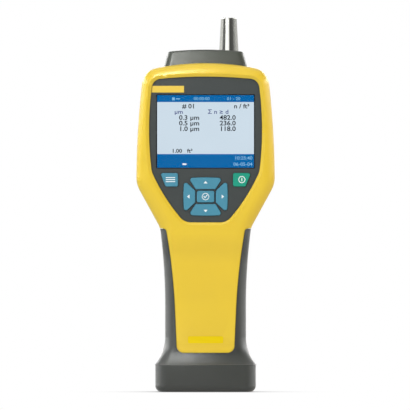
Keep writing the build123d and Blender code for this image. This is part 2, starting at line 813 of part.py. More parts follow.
# ---- pump, filter and tubing ----------------------------------------------
pump_head = block(pump_x, pump_y, pump_z - pump_h / 2, pump_w, pump_d, pump_h)
pump_head = fillet(pump_head.edges().filter_by(Axis.Z), radius=3)
pump_low_z = pump_z - pump_h / 2
pump_in_x = pump_x + 7
pump_out_x = pump_x - 7
for x in (pump_in_x, pump_out_x):
    pump_head += rod_z(x, pump_y - 8, nipple_r, pump_low_z - nipple_l, pump_low_z)
pump_motor = rod_z(pump_x, pump_y, motor_r, pump_z + pump_h / 2,
                   pump_z + pump_h / 2 + motor_l)
pump_motor += rod_z(pump_x, pump_y, 4.0, pump_z + pump_h / 2 + motor_l,
                    pump_z + pump_h / 2 + motor_l + 2)
filter_bar = Plane(origin=(filter_x - filter_l / 2, filter_y, filter_z),
                   x_dir=(0, 1, 0), z_dir=(1, 0, 0))
exhaust_filter = extrude(filter_bar * Circle(filter_r), amount=filter_l)
exhaust_filter = chamfer(exhaust_filter.edges().filter_by(GeomType.CIRCLE), length=3)
exhaust_filter += extrude(filter_bar * Circle(nipple_r), amount=-nipple_l)


def hose(points, radius):
    """A soft tube with a bore, bent round rounded corners."""
    path = FilletPolyline(*points, radius=radius)
    start = Plane(origin=path @ 0, z_dir=path % 0)
    return sweep(start * Circle(tube_r), path=path) - sweep(start * Circle(tube_bore_r), path=path)


hose_z = pump_low_z - 14
sample_hose = hose(((inlet_x - 8, head_y, sensor_low_z - 0.3),
                    (inlet_x - 8, head_y, hose_z),
                    (pump_in_x, pump_y - 8, hose_z),
                    (pump_in_x, pump_y - 8, pump_low_z - 0.3)), 5.0)
filter_face_x = filter_x - filter_l / 2
exhaust_hose = hose(((pump_out_x, pump_y - 8, pump_low_z - 0.3),
                     (pump_out_x, pump_y - 8, filter_z),
                     (pump_out_x + 9, filter_y, filter_z),
                     (filter_face_x - 0.3, filter_y, filter_z)), 4.0)

# ---- battery --------------------------------------------------------------
tray_back_y = handle_back - rubber - wall - tray_gap
cell_y = tray_back_y - tray_gap - cell_r
bay_low_z = door_low_z + door_ledge
bay_high_z = door_high_z - door_ledge
tray_outer_half = 2 * cell_r + tray_gap + tray_wall
tray_front_y = cell_y - cell_r - 0.05 - tray_wall
tray_middle_z = (bay_low_z + bay_high_z) / 2
tray_h = bay_high_z - bay_low_z + 2 * tray_wall
battery_tray = upright(Pos(0, tray_middle_z) * RectangleRounded(
    2 * tray_outer_half, tray_h, 2), tray_front_y, tray_back_y)
battery_tray -= upright(Pos(0, tray_middle_z) * RectangleRounded(
    2 * (tray_outer_half - tray_wall), tray_h - 2 * tray_wall, 1),
    tray_front_y + tray_wall, reach)
pack_low_z = bay_low_z + 0.4
pack_face = Pos(-cell_r, 0) * Circle(cell_r) + Pos(cell_r, 0) * Circle(cell_r) \
    + Rectangle(2 * cell_r, 2 * cell_r)
battery_pack = Pos(0, cell_y, pack_low_z) * extrude(pack_face, amount=cell_l)
contact_z = pack_low_z + cell_l + 0.05
battery_contacts = Compound([
    block((i - (contact_count - 1) / 2) * contact_pitch, cell_y, contact_z,
          contact_w, contact_l, bay_high_z - contact_z)
    - block((i - (contact_count - 1) / 2) * contact_pitch, cell_y - contact_t, contact_z
            + contact_t, contact_w + 1, contact_l, bay_high_z - contact_z - 2 * contact_t)
    for i in range(contact_count)])

battery_door = upright(door_outline(0), handle_back - door_t + 0.05, handle_back)
outer_rim = [e for e in battery_door.edges() if abs(e.center().Y - handle_back) < 0.01]
battery_door = fillet(outer_rim, radius=0.5)
for i in range(door_rib_count):
    rib_z = door_high_z - 10 - i * door_rib_pitch
    rib = upright(Pos(0, rib_z) * SlotOverall(door_rib_w, door_rib_t),
                  handle_back - 0.5, handle_back + door_rib_proud)
    battery_door += rib

# ---- sockets --------------------------------------------------------------
io_board = block(0, 7, io_board_z, 56, 28, io_board_t)
io_board = fillet(io_board.edges().filter_by(Axis.Z), radius=2)

def jack(x, size):
    """The metal or plastic shell of one socket, closed behind its mouth."""
    width, depth, height = size
    return block(x, socket_y - depth / 2, socket_low_z, width, depth, height)


network_socket = jack(network_x, network_size)
network_socket -= block(network_x, socket_y - 4, socket_low_z + 2.2, 11.8, 16, 6.8)
network_socket -= block(network_x, socket_y - 4, socket_low_z + 8.9, 6.2, 16, 2.2)
usb_socket = jack(usb_x, usb_size)
usb_hole = upright(Pos(usb_x, socket_low_z + usb_size[2] / 2) * RectangleRounded(9.2, 8.2, 1.2),
                   socket_y - 9, reach)
usb_tongue = upright(Pos(usb_x, socket_low_z + usb_size[2] / 2) * Rectangle(5.6, 3.2),
                     socket_y - 10, socket_y - 1)
usb_socket = usb_socket - usb_hole + usb_tongue
power_mid_z = socket_low_z + power_size[2] / 2
power_socket = jack(power_x, power_size)
power_socket -= rod_y(power_x, power_mid_z, power_bore_r, socket_y - 9.5, reach)
power_socket += rod_y(power_x, power_mid_z, power_pin_r, socket_y - 10, socket_y - 0.8)

# ---- buzzer ---------------------------------------------------------------
buzzer = rod_y(sound_x, sound_z, buzzer_r, buzzer_y - buzzer_t, buzzer_y)

nodes = {
    "front_shell": front_shell, "rear_shell": rear_shell, "grip_boot": grip_boot,
    "top_cap": top_cap, "bezel": bezel, "name_strip": name_strip,
    "screen_window": screen_window, "window_gasket": window_gasket,
    "lcd_module": lcd_module, "keypad_mat": keypad_mat, "main_board": main_board,
    "board_screws": board_screws, "case_screws": case_screws,
    "inlet_probe": inlet_probe, "inlet_fitting": inlet_fitting,
    "inlet_oring": inlet_oring, "sensor_block": sensor_block,
    "laser_module": laser_module, "detector_board": detector_board,
    "pump_head": pump_head, "pump_motor": pump_motor,
    "exhaust_filter": exhaust_filter, "sample_hose": sample_hose,
    "exhaust_hose": exhaust_hose, "battery_tray": battery_tray,
    "battery_pack": battery_pack, "battery_contacts": battery_contacts,
    "battery_door": battery_door, "io_board": io_board,
    "network_socket": network_socket, "usb_socket": usb_socket,
    "power_socket": power_socket, "buzzer": buzzer, **keys,
}
for name, shape in nodes.items():
    export_step(shape, f"parts/{name}.step")
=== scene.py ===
import math
import bmesh
import bpy
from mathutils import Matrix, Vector
from mathutils.bvhtree import BVHTree


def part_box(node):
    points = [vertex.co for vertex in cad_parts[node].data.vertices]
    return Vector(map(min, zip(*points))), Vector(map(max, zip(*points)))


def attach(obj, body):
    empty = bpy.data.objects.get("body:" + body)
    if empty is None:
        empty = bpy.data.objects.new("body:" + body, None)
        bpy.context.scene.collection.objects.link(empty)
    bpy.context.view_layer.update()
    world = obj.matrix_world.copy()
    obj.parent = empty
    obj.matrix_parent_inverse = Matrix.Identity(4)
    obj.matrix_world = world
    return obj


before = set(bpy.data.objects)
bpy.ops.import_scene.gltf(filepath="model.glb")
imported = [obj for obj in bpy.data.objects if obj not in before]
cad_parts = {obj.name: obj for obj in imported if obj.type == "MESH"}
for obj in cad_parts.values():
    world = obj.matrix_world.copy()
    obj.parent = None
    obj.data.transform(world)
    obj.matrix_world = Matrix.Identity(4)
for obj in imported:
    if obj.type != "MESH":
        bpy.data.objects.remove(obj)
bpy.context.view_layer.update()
MM = 0.001


# ---- colour and material helpers ------------------------------------------
def linear(r, g, b, a=1.0):
    """A colour written as 0-255 screen values, as the shader wants it."""
    def one(v):
        v = v / 255.0
        return v / 12.92 if v <= 0.04045 else ((v + 0.055) / 1.055) ** 2.4
    return (one(r), one(g), one(b), a)


def shade(colour, factor):
    return tuple(min(1.0, c * factor) for c in colour[:3]) + (1.0,)


def two_stops(node, low, low_colour, high, high_colour):
    """Sets the two stops that a new colour ramp has."""
    first, last = node.color_ramp.elements
    first.position = low
    first.color = low_colour
    last.position = high
    last.color = high_colour


def surface(name, colour, rough=0.4, metallic=0.0, grain=0.12, grain_mm=0.45,
            mottle=0.05, wear_and_highlight=0.10, coat=0.0, stretch=(1, 1, 1), spec=0.5, sheen=0.0):
    """A procedural material: grain bump, mottled colour and roughness, and edges lit up as wear
    and painted highlight.
    """
    mat = bpy.data.materials.new(name)
    mat.use_nodes = True
    nt = mat.node_tree
    bsdf = nt.nodes["Principled BSDF"]
    bsdf.inputs["Metallic"].default_value = metallic
    bsdf.inputs["Coat Weight"].default_value = coat
    bsdf.inputs["Coat Roughness"].default_value = 0.12
    bsdf.inputs["Specular IOR Level"].default_value = spec
    bsdf.inputs["Sheen Weight"].default_value = sheen
    bsdf.inputs["Sheen Roughness"].default_value = 0.35
    coord = nt.nodes.new("ShaderNodeTexCoord")
    place = nt.nodes.new("ShaderNodeMapping")
    place.inputs["Scale"].default_value = stretch
    nt.links.new(coord.outputs["Object"], place.inputs["Vector"])
    fine = nt.nodes.new("ShaderNodeTexNoise")
    fine.inputs["Scale"].default_value = 1.0 / (grain_mm * MM)
    fine.inputs["Detail"].default_value = 3.0
    nt.links.new(place.outputs["Vector"], fine.inputs["Vector"])
    broad = nt.nodes.new("ShaderNodeTexNoise")
    broad.inputs["Scale"].default_value = 38.0
    broad.inputs["Detail"].default_value = 4.0
    nt.links.new(place.outputs["Vector"], broad.inputs["Vector"])
    bump = nt.nodes.new("ShaderNodeBump")
    bump.inputs["Strength"].default_value = grain
    bump.inputs["Distance"].default_value = 0.06 * MM
    nt.links.new(fine.outputs["Fac"], bump.inputs["Height"])
    nt.links.new(bump.outputs["Normal"], bsdf.inputs["Normal"])
    tint = nt.nodes.new("ShaderNodeValToRGB")
    two_stops(tint, 0.30, shade(colour, 1.0 - mottle), 0.70, shade(colour, 1.0 + mottle))
    nt.links.new(broad.outputs["Fac"], tint.inputs["Fac"])
    # Convex edges, found by pointiness, turn lighter: part rubbed wear, part painted highlight.
    geo = nt.nodes.new("ShaderNodeNewGeometry")
    edge = nt.nodes.new("ShaderNodeValToRGB")
    two_stops(edge, 0.52, (0, 0, 0, 1), 0.62, (wear_and_highlight, wear_and_highlight, wear_and_highlight, 1))
    nt.links.new(geo.outputs["Pointiness"], edge.inputs["Fac"])
    mix = nt.nodes.new("ShaderNodeMix")
    mix.data_type = "RGBA"
    mix.inputs[7].default_value = shade(colour, 1.35)
    nt.links.new(edge.outputs["Color"], mix.inputs[0])
    nt.links.new(tint.outputs["Color"], mix.inputs[6])
    nt.links.new(mix.outputs[2], bsdf.inputs["Base Color"])
    gloss = nt.nodes.new("ShaderNodeMapRange")
    gloss.inputs["From Min"].default_value = 0.3
    gloss.inputs["From Max"].default_value = 0.7
    gloss.inputs["To Min"].default_value = max(0.02, rough - 0.05)
    gloss.inputs["To Max"].default_value = rough + 0.05
    nt.links.new(broad.outputs["Fac"], gloss.inputs["Value"])
    nt.links.new(gloss.outputs["Result"], bsdf.inputs["Roughness"])
    return mat


def lit(name, colour):
    """A lit display colour that also takes a faint grain from the pixels."""
    mat = bpy.data.materials.new(name)
    mat.use_nodes = True
    nt = mat.node_tree
    bsdf = nt.nodes["Principled BSDF"]
    bsdf.inputs["Base Color"].default_value = (0.002, 0.002, 0.002, 1)
    bsdf.inputs["Roughness"].default_value = 0.5
    bsdf.inputs["Specular IOR Level"].default_value = 0.0
    coord = nt.nodes.new("ShaderNodeTexCoord")
    noise = nt.nodes.new("ShaderNodeTexNoise")
    noise.inputs["Scale"].default_value = 30.0
    nt.links.new(coord.outputs["Object"], noise.inputs["Vector"])
    ramp = nt.nodes.new("ShaderNodeValToRGB")
    two_stops(ramp, 0.3, shade(colour, 0.97), 0.7, colour)
    nt.links.new(noise.outputs["Fac"], ramp.inputs["Fac"])
    nt.links.new(ramp.outputs["Color"], bsdf.inputs["Emission Color"])
    bsdf.inputs["Emission Strength"].default_value = 1.0
    return mat


def clear_window(name):
    """Thin clear sheet: straight through, with a gloss on the face that light meets."""
    mat = bpy.data.materials.new(name)
    mat.use_nodes = True
    nt = mat.node_tree
    out = nt.nodes["Material Output"]
    nt.nodes.remove(nt.nodes["Principled BSDF"])
    through = nt.nodes.new("ShaderNodeBsdfTransparent")
    through.inputs["Color"].default_value = (0.985, 0.99, 0.992, 1)
    gloss = nt.nodes.new("ShaderNodeBsdfGlossy")
    gloss.inputs["Roughness"].default_value = 0.06
    gloss.inputs["Color"].default_value = (0.3, 0.3, 0.3, 1)
    fres = nt.nodes.new("ShaderNodeFresnel")
    fres.inputs["IOR"].default_value = 1.3
    side = nt.nodes.new("ShaderNodeNewGeometry")
    outer = nt.nodes.new("ShaderNodeMath")
    outer.operation = "SUBTRACT"
    outer.inputs[0].default_value = 1.0
    nt.links.new(side.outputs["Backfacing"], outer.inputs[1])
    share = nt.nodes.new("ShaderNodeMath")
    share.operation = "MULTIPLY"
    nt.links.new(fres.outputs["Fac"], share.inputs[0])
    nt.links.new(outer.outputs["Value"], share.inputs[1])
    mix = nt.nodes.new("ShaderNodeMixShader")
    nt.links.new(share.outputs["Value"], mix.inputs["Fac"])
    nt.links.new(through.outputs["BSDF"], mix.inputs[1])
    nt.links.new(gloss.outputs["BSDF"], mix.inputs[2])
    nt.links.new(mix.outputs["Shader"], out.inputs["Surface"])
    return mat


YELLOW = linear(234, 200, 44)
M = {
    "yellow": surface("yellow_moulding", YELLOW, rough=0.38, grain=0.10, mottle=0.02, wear_and_highlight=0.2,
                      spec=0.7, sheen=0.10),
    "rubber": surface("dark_rubber", linear(47, 51, 48), rough=0.50, grain=0.35,
                      grain_mm=0.35, mottle=0.05, wear_and_highlight=0.3, spec=0.9, sheen=0.9),
    "cap": surface("cap_plastic", linear(70, 74, 67), rough=0.38, grain=0.2, mottle=0.04),
    "bezel": surface("bezel_plastic", linear(60, 66, 66), rough=0.38, grain=0.15,
                     grain_mm=0.3, mottle=0.04),
    "strip": surface("strip_plate", linear(233, 200, 78), rough=0.3, grain=0.05, mottle=0.02),
    "window": clear_window("clear_window"),
    "gasket": surface("black_gasket", linear(14, 18, 24), rough=0.6, grain=0.3),
    "panel": surface("panel_frame", linear(24, 28, 34), rough=0.4, grain=0.1),
    "blue": surface("blue_key", linear(70, 142, 168), rough=0.34, grain=0.10, grain_mm=0.3,
                    mottle=0.03, wear_and_highlight=0.5),
    "green": surface("green_key", linear(8, 154, 128), rough=0.34, grain=0.10, grain_mm=0.3,
                     mottle=0.03, wear_and_highlight=0.5),
    "silicone": surface("grey_silicone", linear(40, 46, 52), rough=0.6, grain=0.2),
    "board": surface("board_mask", linear(22, 92, 52), rough=0.3, grain=0.15, mottle=0.12),
    "steel": surface("turned_steel", linear(205, 205, 198), rough=0.10, metallic=1.0,
                     grain=0.10, grain_mm=0.25, mottle=0.02, wear_and_highlight=0.0, stretch=(1, 1, 0.04)),
    "screw": surface("plated_screw", linear(140, 140, 136), rough=0.3, metallic=1.0,
                     grain=0.15, mottle=0.05),
    "brass": surface("turned_brass", linear(202, 170, 104), rough=0.25, metallic=1.0,
                     grain=0.1, mottle=0.04, stretch=(1, 1, 0.1)),
    "black": surface("black_moulding", linear(26, 27, 28), rough=0.5, grain=0.25),
    "alloy": surface("anodised_alloy", linear(70, 71, 76), rough=0.4, metallic=0.8, grain=0.2),
    "can": surface("drawn_can", linear(170, 170, 168), rough=0.3, metallic=1.0, grain=0.12,
                   stretch=(1, 1, 0.1)),
    "pale": surface("pale_plastic", linear(218, 222, 222), rough=0.3, grain=0.08),
    "hose": surface("soft_hose", linear(200, 196, 184), rough=0.35, grain=0.08),
    "wrap": surface("cell_wrap", linear(38, 74, 140), rough=0.28, grain=0.08, coat=0.4),
    "gold": surface("plated_contact", linear(214, 176, 92), rough=0.22, metallic=1.0, grain=0.05),
    "socket": surface("stamped_shell", linear(165, 166, 168), rough=0.28, metallic=1.0,
                      grain=0.15, mottle=0.05),
    "patch": surface("bright_patch", linear(240, 210, 0), rough=0.5, spec=0.2, grain=0.06,
                     mottle=0.02),
    "ink": surface("key_print", linear(238, 246, 248), rough=0.4, grain=0.05, mottle=0.01),
}
NODE_LOOK = {
    "front_shell": "yellow", "rear_shell": "yellow", "grip_boot": "rubber",
    "top_cap": "cap", "bezel": "bezel", "name_strip": "strip",
    "screen_window": "window", "window_gasket": "gasket", "lcd_module": "panel",
    "keypad_mat": "silicone", "main_board": "board", "board_screws": "screw",
    "case_screws": "screw", "inlet_probe": "steel", "inlet_fitting": "brass",
    "inlet_oring": "black", "sensor_block": "alloy", "laser_module": "brass",
    "detector_board": "board", "pump_head": "black", "pump_motor": "can",
    "exhaust_filter": "pale", "sample_hose": "hose", "exhaust_hose": "hose",
    "battery_tray": "black", "battery_pack": "wrap", "battery_contacts": "gold",
    "battery_door": "cap", "io_board": "board", "network_socket": "socket",
    "usb_socket": "socket", "power_socket": "black", "buzzer": "black",
    "key_up": "blue", "key_down": "blue", "key_left": "blue", "key_right": "blue",
    "key_enter": "blue", "key_menu": "blue", "key_power": "green",
}
for node, look in NODE_LOOK.items():
    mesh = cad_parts[node].data
    mesh.materials.clear()
    mesh.materials.append(M[look])


# ---- flat printed and lit pieces ------------------------------------------
def rounded(points, radius, steps=5):
    """A polygon's points with each corner turned into a short arc."""
    out = []
    n = len(points)
    for i, here in enumerate(points):
        p = Vector(here)
        a = (Vector(points[i - 1]) - p)
        b = (Vector(points[(i + 1) % n]) - p)
        half = a.angle(b) / 2
        cut = min(radius / math.tan(half), a.length * 0.48, b.length * 0.48)
        start = p + a.normalized() * cut
        end = p + b.normalized() * cut
        for k in range(steps + 1):
            t = k / steps
            out.append(tuple((1 - t) ** 2 * start + 2 * t * (1 - t) * p + t * t * end))
    return out


def plane_piece(name, loops, y, mat, body="housing", *, slot):
    """Flat faces at one depth that look to the front, from outlines (x, z) in mm."""
    verts, faces = [], []
    for loop in loops:
        first = len(verts)
        verts += [(x * MM, y * MM, z * MM) for x, z in loop]
        face = list(range(first, len(verts)))
        area = sum(loop[i - 1][0] * loop[i][1] - loop[i][0] * loop[i - 1][1]
                   for i in range(len(loop)))
        if area <= 0:
            face.reverse()
        faces.append(face)
    mesh = bpy.data.meshes.new(name)
    mesh.from_pydata(verts, [], faces)
    mesh.materials.append(mat)
    piece = bpy.data.objects.new(name, mesh)
    bpy.context.scene.collection.objects.link(piece)
    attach(piece, body)


def rect(x0, z0, x1, z1, radius=0.0):
    points = [(x0, z0), (x1, z0), (x1, z1), (x0, z1)]
    return rounded(points, radius) if radius else points


def ring(cx, cz, outer, inner, steps=40):
    """Quads of a ring, so that the middle stays open."""
    quads = []
    for k in range(steps):
        a = math.radians(360.0 * k / steps)
        b = math.radians(360.0 * (k + 1) / steps)
        quads.append([(cx + inner * math.cos(a), cz + inner * math.sin(a)),
                      (cx + outer * math.cos(a), cz + outer * math.sin(a)),
                      (cx + outer * math.cos(b), cz + outer * math.sin(b)),
                      (cx + inner * math.cos(b), cz + inner * math.sin(b))])
    return quads


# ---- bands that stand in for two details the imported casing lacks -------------
# part.py has lines for a flared lip round the bezel's recess and for a tongue
# along the parting line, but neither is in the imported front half.  These bands
# only show them: bezel_lip lies on the casing's surface, and its slope is in the
# shading normals alone.  Both go once part.py makes the real forms.
BEZEL_FACE_Y = -22.3
REAR_EDGE_Y = 0.3           # where the rear half starts, behind the open seam
LIP_RISE = 0.04             # bezel_lip lies this far over the casing
LIP_ROWS = ((0.19, 30), (1.1, 30), (2.0, 26), (2.6, 6))   # mm outwards, degrees of lean
RIB_INSET = 1.0
RIB_DEPTHS = (-0.25, 0.55)


def shell_mesh(node):
    """A CAD node's mesh in the shared frame, as a copy with its corners joined."""
    bm = bmesh.new()
    bm.from_mesh(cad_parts[node].data)
    bm.transform(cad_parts[node].matrix_world)
    bmesh.ops.remove_doubles(bm, verts=bm.verts, dist=1e-6)
    return bm


def flat_loops(bm, depth):
    """Outlines (x, z) of the flat faces that look along Y at one depth, longest first."""
    flat = [f for f in bm.faces
            if abs(f.normal.y) > 0.999 and abs(f.calc_center_median().y - depth) < 2e-5]
    marked = set(flat)      # only looked up: a set's own order changes from run to run
    after = {}
    for face in flat:
        for loop in face.loops:
            if sum(g in marked for g in loop.edge.link_faces) == 1:
                after[loop.vert] = loop.link_loop_next.vert
    loops = []
    while after:
        start, here = after.popitem()
        chain = [start]
        while here in after:
            chain.append(here)
            here = after.pop(here)
        loops.append([Vector((v.co.x, v.co.z)) for v in chain])
    return sorted(loops, key=lambda pts: -sum((a - b).length
                                              for a, b in zip(pts, pts[1:] + pts[:1])))


def outward(points):
    """Unit vectors that point out of a closed outline, one at each point."""
    area = sum(a.x * b.y - b.x * a.y for a, b in zip(points, points[1:] + points[:1]))
    turn = 1 if area > 0 else -1
    result = []
    for i in range(len(points)):
        along = (points[(i + 1) % len(points)] - points[i - 1]).normalized()
        result.append(Vector((along.y, -along.x)) * turn)
    return result


def ribbon(name, rows, mat, normals=None):
    """A closed band through rows of points, with its own shading normals if given."""
    count = len(rows[0])
    faces = []
    for r in range(len(rows) - 1):
        for i in range(count):
            j = (i + 1) % count
            faces.append((r * count + i, r * count + j, (r + 1) * count + j,
                          (r + 1) * count + i))
    mesh = bpy.data.meshes.new(name)
    mesh.from_pydata([v for row in rows for v in row], [], faces)
    mesh.materials.append(mat)
    mesh.shade_smooth()
    if normals:
        if mesh.polygons[0].normal.y > 0:
            mesh.flip_normals()
        mesh.normals_split_custom_set_from_vertices(normals)
    piece = bpy.data.objects.new(name, mesh)
    bpy.context.scene.collection.objects.link(piece)
    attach(piece, "housing")


plate = shell_mesh("bezel")
front = shell_mesh("front_shell")
recess = flat_loops(plate, BEZEL_FACE_Y * MM)[0]
away = outward(recess)
skin = BVHTree.FromBMesh(front)
rows, normals = [], []
for grow, lean in LIP_ROWS:
    row = []
    for point, out_dir in zip(recess, away):
        spot = point + out_dir * grow * MM
        hit = skin.ray_cast(Vector((spot.x, -0.2, spot.y)), Vector((0, 1, 0)))[0]
        row.append((spot.x, hit.y - LIP_RISE * MM, spot.y))
        tilt = math.radians(lean)
        normals.append((-out_dir.x * math.sin(tilt), -math.cos(tilt),
                        -out_dir.y * math.sin(tilt)))
    rows.append(row)
ribbon("bezel_lip", rows, M["yellow"], normals)
front.free()
plate.free()

# seam_rib blocks the open seam as the missing tongue would; its black colour is painted shade in
# the seam.
rear = shell_mesh("rear_shell")
parting = flat_loops(rear, REAR_EDGE_Y * MM)[0]
away = outward(parting)
rows = [[(p.x - n.x * RIB_INSET * MM, y * MM, p.y - n.y * RIB_INSET * MM)
         for p, n in zip(parting, away)] for y in RIB_DEPTHS]
ribbon("seam_rib", rows, M["black"])
rear.free()

# ---- key legends: generic symbols -----------------------------------------
PRINT_RISE = 0.03           # print stands this far off the face below it
NAV_Z = 141.5
ARROW_X, ARROW_Z = 12.3, 10.2
MENU_X, POWER_X, SIDE_KEY_Z = -25.4, 26.3, 153.8
key_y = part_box("key_enter")[0][1] / MM - PRINT_RISE


def arrow(cx, cz, dx, dz, size=1.5):
    """A triangle that points along (dx, dz)."""
    tip = (cx + dx * size * 0.75, cz + dz * size * 0.75)
    back = (cx - dx * size * 0.45, cz - dz * size * 0.45)
    return rounded([tip, (back[0] - dz * size, back[1] + dx * size),
                    (back[0] + dz * size, back[1] - dx * size)], 0.15)


for name, x, z, dx, dz in (("key_up", 0, ARROW_Z, 0, 1), ("key_down", 0, -ARROW_Z, 0, -1),
                           ("key_left", -ARROW_X, 0, -1, 0), ("key_right", ARROW_X, 0, 1, 0)):
    plane_piece(name + "_mark", [arrow(x, NAV_Z + z, dx, dz)], key_y, M["ink"], name,
                slot="strip_yellow")
bars = [rect(-3.4, 1.15, 3.4, 1.75, 0.2), rect(-3.4, -0.3, 3.4, 0.3, 0.2),
        rect(-3.4, -1.75, 3.4, -1.15, 0.2)]
plane_piece("key_menu_mark", [[(x + MENU_X, z + SIDE_KEY_Z) for x, z in b] for b in bars],
            key_y, M["ink"], "key_menu", slot="strip_yellow")
plane_piece("key_power_mark",
            ring(POWER_X, SIDE_KEY_Z, 2.55, 2.0) + [rect(26.0, 152.5, 26.6, 155.1, 0.15)],
            key_y, M["ink"], "key_power", slot="strip_yellow")
plane_piece("key_enter_mark", ring(0, NAV_Z, 2.6, 2.15)
            + [rounded([(-1.5, NAV_Z + 0.1), (-0.4, NAV_Z - 1.3), (1.6, NAV_Z + 1.2),
                        (1.15, NAV_Z + 1.55), (-0.4, NAV_Z - 0.45), (-1.05, NAV_Z + 0.5)], 0.08)],
            key_y, M["ink"], "key_enter", slot="strip_yellow")

# ---- display picture ------------------------------------------------------
PIC_W, PIC_H, PIC_Z = 70.08, 52.56, 188.7
GROUND_RISE, BAR_RISE, FIGURE_RISE = 0.03, 0.05, 0.07   # layers, from the display's face
TOP_BAR, LOW_BAR = 0.095, 0.812                         # as parts of the picture's height
LETTER_WIDTH = 1.12
FIRST_ROW, ROW_PITCH = 0.312, 0.077
lcd_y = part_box("lcd_module")[0][1] / MM
low_z = PIC_Z - PIC_H / 2
high_z = PIC_Z + PIC_H / 2
half_w = PIC_W / 2
PALE = lit("picture_pale", linear(209, 224, 236))
BLUE = lit("picture_blue", linear(2, 102, 170))
DARK = lit("picture_ink", linear(28, 32, 40))
NAVY = lit("picture_heading", linear(54, 62, 128))
SKY = lit("picture_sky", linear(132, 190, 226))
WHITE = lit("picture_white", linear(246, 250, 252))


def px(fx):
    """X in mm of a point given as a part of the picture's width."""
    return -half_w + fx * PIC_W


def pz(fz):
    """Z in mm of a point given as a part of the picture's height, from its top."""
    return high_z - fz * PIC_H


plane_piece("picture_ground", [rect(-half_w, low_z, half_w, high_z)], lcd_y - GROUND_RISE,
            PALE, slot="display_panel")
plane_piece("picture_bars", [rect(-half_w, pz(TOP_BAR), half_w, high_z),
                             rect(-half_w, low_z, half_w, pz(LOW_BAR))],
            lcd_y - BAR_RISE, BLUE, slot="display_panel")


def words(name, text, fx, fz, size, mat, align, bold):
    """Figures or units on the display, placed by fractions of the picture."""
    curve = bpy.data.curves.new(name, "FONT")
    curve.body = text
    curve.size = size * MM
    curve.align_x = align
    curve.align_y = "CENTER"
    curve.offset = bold * MM
    curve.resolution_u = 3
    curve.materials.append(mat)
    piece = bpy.data.objects.new(name, curve)
    piece.rotation_euler = (math.radians(90), 0, 0)
    piece.scale = (LETTER_WIDTH, 1, 1)
    piece.location = (px(fx) * MM, (lcd_y - FIGURE_RISE) * MM, pz(fz) * MM)
    bpy.context.scene.collection.objects.link(piece)
    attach(piece, "housing")


# Made-up counts: neither these nor the signs are the photograph's.
COUNTS = (("0.3", "482.0"), ("0.5", "236.0"), ("1.0", "118.0"))
words("picture_site", "# 01", 0.326, 0.155, 4.5, DARK, "CENTER", 0.09)
words("picture_unit", "n / ft³", 0.954, 0.155, 4.5, DARK, "RIGHT", 0.09)
words("picture_head_a", "µm", 0.222, 0.232, 4.3, NAVY, "CENTER", 0.05)
words("picture_head_b", "Σ n ≥ d", 0.63, 0.232, 4.3, NAVY, "CENTER", 0.05)
for i, (grain_size, count) in enumerate(COUNTS):
    level = FIRST_ROW + i * ROW_PITCH
    words(f"picture_size_{i}", grain_size + " µm", 0.437, level, 4.7, DARK, "RIGHT", 0.09)
    words(f"picture_count_{i}", count, 0.8125, level, 4.7, DARK, "RIGHT", 0.09)
words("picture_volume", "1.00   ft³", 0.15, 0.77, 3.9, DARK, "LEFT", 0.08)
words("picture_time", "10:25:40", 0.985, 0.868, 3.4, SKY, "RIGHT", 0.04)
words("picture_date", "06-05-04", 0.985, 0.953, 3.4, SKY, "RIGHT", 0.04)
words("picture_clock", "00:00:00", 0.46, 0.05, 3.0, SKY, "CENTER", 0.02)
words("picture_code", "01 - 20", 0.79, 0.05, 3.0, SKY, "CENTER", 0.02)
plane_piece("picture_stop", [rect(px(0.155), pz(0.07), px(0.182), pz(0.032)),
                             rect(px(0.195), pz(0.058), px(0.235), pz(0.044))],
            lcd_y - FIGURE_RISE, SKY, slot="display_panel")
plane_piece("picture_cell", [rect(px(0.262), pz(0.962), px(0.300), pz(0.94)),
                             rect(px(0.300), pz(0.957), px(0.304), pz(0.945))],
            lcd_y - FIGURE_RISE, WHITE, slot="display_panel")

# ---- bare bright patch in the shallow recess low on the handle -------------
PATCH_Y = -20.23
plane_piece("handle_patch", [rect(-12.8, 35.3, 12.8, 40.3, 1.2)], PATCH_Y, M["patch"],
            slot="strip_yellow")

# ---- spring contacts in the network socket --------------------------------
NET_X = -19.0
CONTACTS, CONTACT_PITCH, WIRE_R = 8, 1.02, 0.2
WIRE_PATH = ((13.0, 8.9), (15.5, 8.9), (17.5, 10.4), (19.6, 11.2), (20.6, 10.2), (20.2, 9.2))
for i in range(CONTACTS):
    curve = bpy.data.curves.new(f"net_contact_{i}", "CURVE")
    curve.dimensions = "3D"
    curve.bevel_depth = WIRE_R * MM
    curve.resolution_u = 4
    spline = curve.splines.new("NURBS")
    spline.points.add(len(WIRE_PATH) - 1)
    for point, (y, z) in zip(spline.points, WIRE_PATH):
        point.co = ((NET_X + (i - (CONTACTS - 1) / 2) * CONTACT_PITCH) * MM, y * MM, z * MM, 1)
    spline.order_u = 3
    spline.use_endpoint_u = True
    curve.materials.append(M["gold"])
    piece = bpy.data.objects.new(f"net_contact_{i}", curve)
    bpy.context.scene.collection.objects.link(piece)
    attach(piece, "housing")

# ---- floor ----------------------------------------------------------------
FLOOR_HALF = 6
FLOOR_Z = -0.0001
mesh = bpy.data.meshes.new("floor")
mesh.from_pydata([(x * FLOOR_HALF, y * FLOOR_HALF, FLOOR_Z)
                  for x, y in ((-1, -1), (1, -1), (1, 1), (-1, 1))], [], [(0, 1, 2, 3)])
floor = bpy.data.objects.new("floor", mesh)
bpy.context.scene.collection.objects.link(floor)
mat = bpy.data.materials.new("floor_pale")
mat.use_nodes = True
nt = mat.node_tree
out = nt.nodes["Material Output"]
nt.nodes.remove(nt.nodes["Principled BSDF"])
